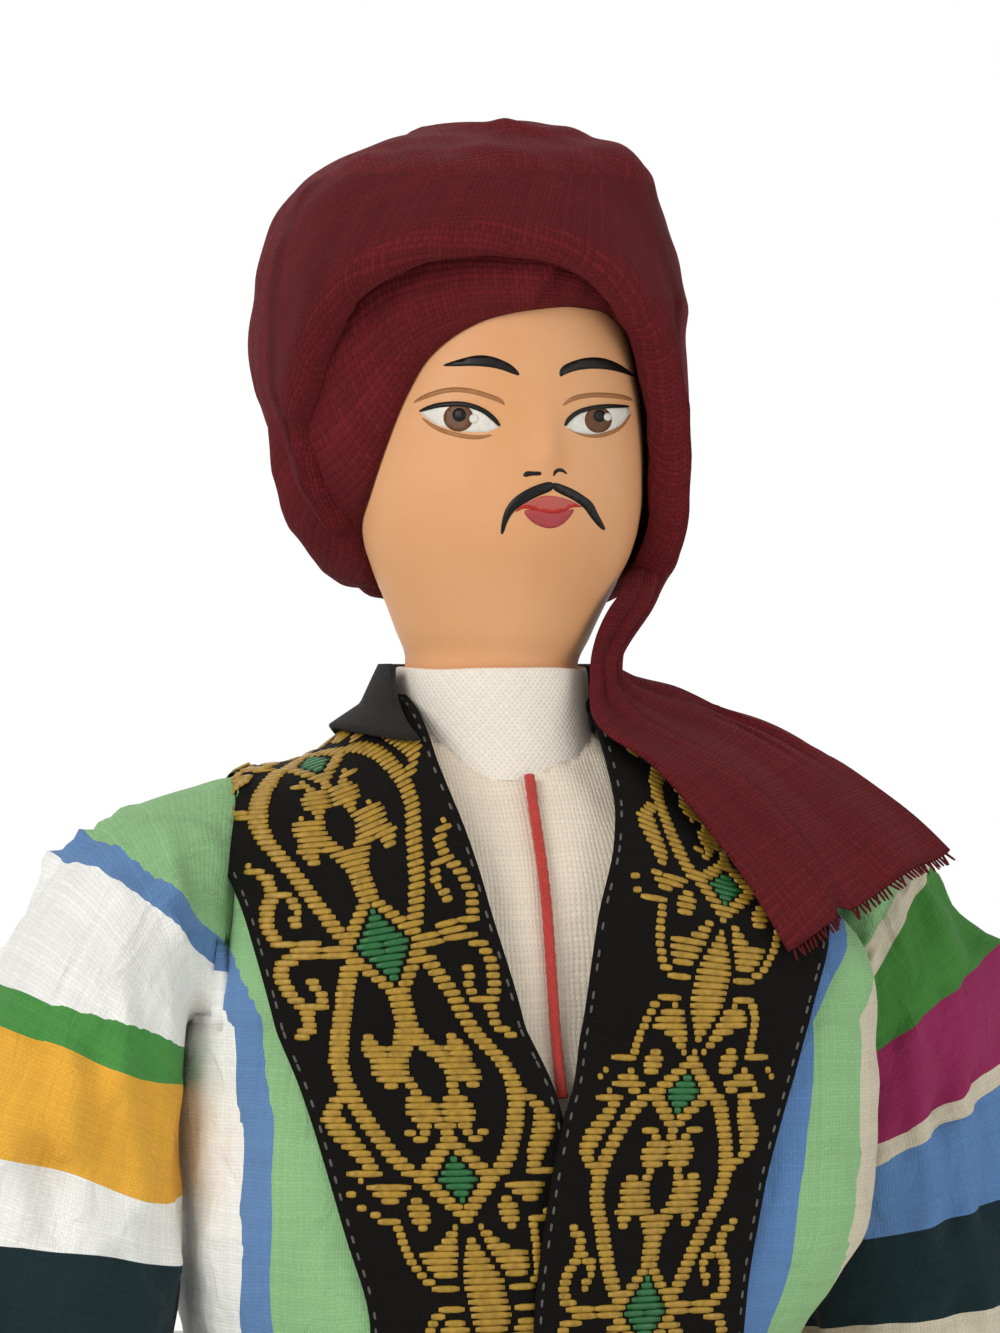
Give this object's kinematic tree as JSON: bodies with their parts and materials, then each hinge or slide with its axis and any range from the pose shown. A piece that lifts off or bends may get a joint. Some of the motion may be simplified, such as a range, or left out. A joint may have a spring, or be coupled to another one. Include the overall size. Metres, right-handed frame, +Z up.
{
  "type": "collectible doll",
  "caption": "Standing folk costume doll with turned wooden head, wound turban, striped robe with woven braids, and swinging arms, on a turned base.",
  "frame": {"origin": "centre of the underside of the turned base, on the surface that the doll stands on", "axes": "+Z up, the doll faces -Y, and its own left hand is at +X"},
  "size_m": [0.1666, 0.092, 0.31],
  "materials": {
    "painted_wood": "turned limewood, flesh paint brushed on, satin varnish, painted features",
    "bare_wood": "turned and carved limewood, unpainted",
    "varnished_wood": "turned beech, walnut stain, satin varnish",
    "steel_wire": "drawn steel wire",
    "turban_wool": "plain-woven maroon wool, matt, slightly hairy",
    "striped_robe_cloth": "puckered woven cotton in green, blue, white, yellow, magenta and dark teal stripes",
    "woven_braid": "black ribbed braid with gold and green weft figures",
    "neck_band_cloth": "plain black ribbed cloth with a raw end",
    "shirt_cotton": "open even-weave white cotton",
    "collar_cotton": "bias-cut white cotton",
    "red_cord": "twisted red cotton cord",
    "wadding": "white cotton wadding",
    "trouser_cotton": "plain-woven unbleached cotton",
    "sash_wool": "plain-woven maroon wool",
    "boot_leather": "smooth black leather, rubbed at the toe",
    "sole_leather": "brown sole leather with a cut edge"
  },
  "bodies": {
    "figure": {"base_disc": "varnished_wood", "leg_dowel_right": "bare_wood", "leg_dowel_left": "bare_wood", "boot_right": "boot_leather", "boot_left": "boot_leather", "boot_sole_right": "sole_leather", "boot_sole_left": "sole_leather", "trousers": "trouser_cotton", "torso_core": "bare_wood", "torso_padding": "wadding", "shoulder_wire": "steel_wire", "neck_dowel": "bare_wood", "shirt_body": "shirt_cotton", "shirt_collar": "collar_cotton", "placket_piping": "red_cord", "robe_body": "striped_robe_cloth", "front_braid_right": "woven_braid", "front_braid_left": "woven_braid", "neck_band": "neck_band_cloth", "sash_band": "sash_wool", "sash_knot": "sash_wool", "sash_tail_right": "sash_wool", "sash_tail_left": "sash_wool", "turban_tail": "turban_wool"},
    "head_and_turban": {"head": "painted_wood", "turban_inner_wrap": "turban_wool", "turban_outer_wrap": "turban_wool", "turban_strand": "turban_wool"},
    "left_arm": {"arm_left": "bare_wood", "sleeve_left": "striped_robe_cloth", "hand_left": "painted_wood"},
    "right_arm": {"arm_right": "bare_wood", "sleeve_right": "striped_robe_cloth", "hand_right": "painted_wood"}
  },
  "joints": [
    {"name": "head_turn", "type": "hinge", "parent": "figure", "child": "head_and_turban", "pos_m": [0, 0, 0.2465], "axis": [0.0436, 0, 0.999], "range_deg": [-30, 30]},
    {"name": "shoulder_swing_left", "type": "hinge", "parent": "figure", "child": "left_arm", "pos_m": [0.0465, 0, 0.218], "axis": [-1, 0, 0], "range_deg": [-20, 30]},
    {"name": "shoulder_swing_right", "type": "hinge", "parent": "figure", "child": "right_arm", "pos_m": [-0.0465, 0, 0.218], "axis": [-1, 0, 0], "range_deg": [-20, 30]}
  ]
}
